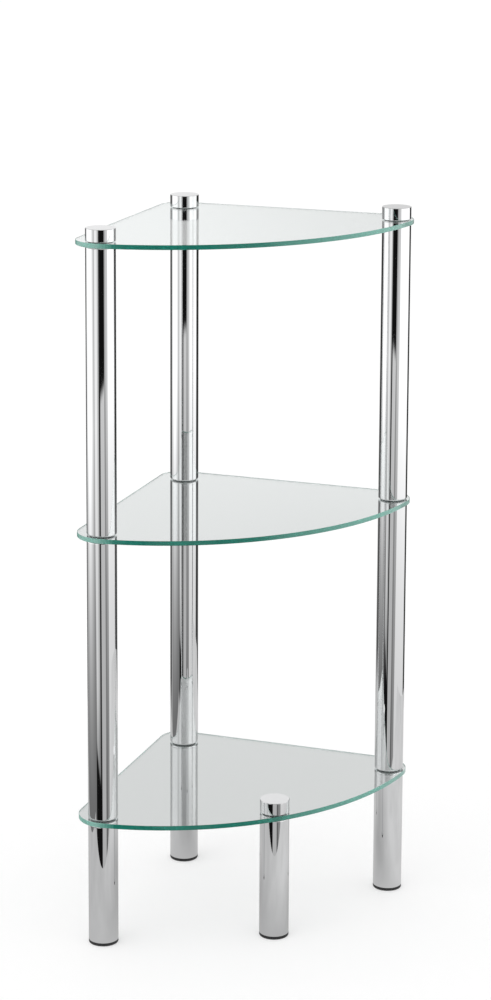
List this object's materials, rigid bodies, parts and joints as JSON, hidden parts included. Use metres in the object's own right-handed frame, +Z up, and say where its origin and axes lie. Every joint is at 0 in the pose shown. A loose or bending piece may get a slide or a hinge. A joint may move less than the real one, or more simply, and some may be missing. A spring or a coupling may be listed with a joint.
{
  "type": "corner shelf unit",
  "caption": "Free-standing bathroom corner shelf with quarter-round clear glass shelves clamped between chromed tube posts, with a short front leg under the lowest shelf.",
  "frame": {"origin": "on the floor, under the centre of the unit's box", "axes": "+Z up along the posts; the square corner of the shelves points to -X, +Y, with a straight shelf edge along the +Y side and one along the -X side; the round edges face +X, -Y"},
  "size_m": [0.2964, 0.2964, 0.7817],
  "materials": {
    "glass": "clear float glass with polished green edges",
    "chrome": "mirror chrome plating",
    "black_plastic": "moulded, matt",
    "zinc_steel": "bright zinc plating",
    "clear_plastic": "clear, soft"
  },
  "bodies": {
    "root": {"shelf_top": "glass", "shelf_middle": "glass", "shelf_bottom": "glass", "left_upper_tube": "chrome", "left_lower_tube": "chrome", "left_leg_tube": "chrome", "left_cap": "chrome", "left_foot": "black_plastic", "left_upper_tube_top_plug": "zinc_steel", "left_upper_tube_bottom_plug": "zinc_steel", "left_lower_tube_top_plug": "zinc_steel", "left_lower_tube_bottom_plug": "zinc_steel", "left_leg_plug": "zinc_steel", "left_top_stud": "zinc_steel", "left_middle_stud": "zinc_steel", "left_bottom_stud": "zinc_steel", "left_top_grommet": "clear_plastic", "left_middle_grommet": "clear_plastic", "left_bottom_grommet": "clear_plastic", "corner_upper_tube": "chrome", "corner_lower_tube": "chrome", "corner_leg_tube": "chrome", "corner_cap": "chrome", "corner_foot": "black_plastic", "corner_upper_tube_top_plug": "zinc_steel", "corner_upper_tube_bottom_plug": "zinc_steel", "corner_lower_tube_top_plug": "zinc_steel", "corner_lower_tube_bottom_plug": "zinc_steel", "corner_leg_plug": "zinc_steel", "corner_top_stud": "zinc_steel", "corner_middle_stud": "zinc_steel", "corner_bottom_stud": "zinc_steel", "corner_top_grommet": "clear_plastic", "corner_middle_grommet": "clear_plastic", "corner_bottom_grommet": "clear_plastic", "right_upper_tube": "chrome", "right_lower_tube": "chrome", "right_leg_tube": "chrome", "right_cap": "chrome", "right_foot": "black_plastic", "right_upper_tube_top_plug": "zinc_steel", "right_upper_tube_bottom_plug": "zinc_steel", "right_lower_tube_top_plug": "zinc_steel", "right_lower_tube_bottom_plug": "zinc_steel", "right_leg_plug": "zinc_steel", "right_top_stud": "zinc_steel", "right_middle_stud": "zinc_steel", "right_bottom_stud": "zinc_steel", "right_top_grommet": "clear_plastic", "right_middle_grommet": "clear_plastic", "right_bottom_grommet": "clear_plastic", "front_leg_tube": "chrome", "front_cap": "chrome", "front_foot": "black_plastic", "front_leg_plug": "zinc_steel", "front_bottom_stud": "zinc_steel", "front_bottom_grommet": "clear_plastic"}
  },
  "joints": []
}
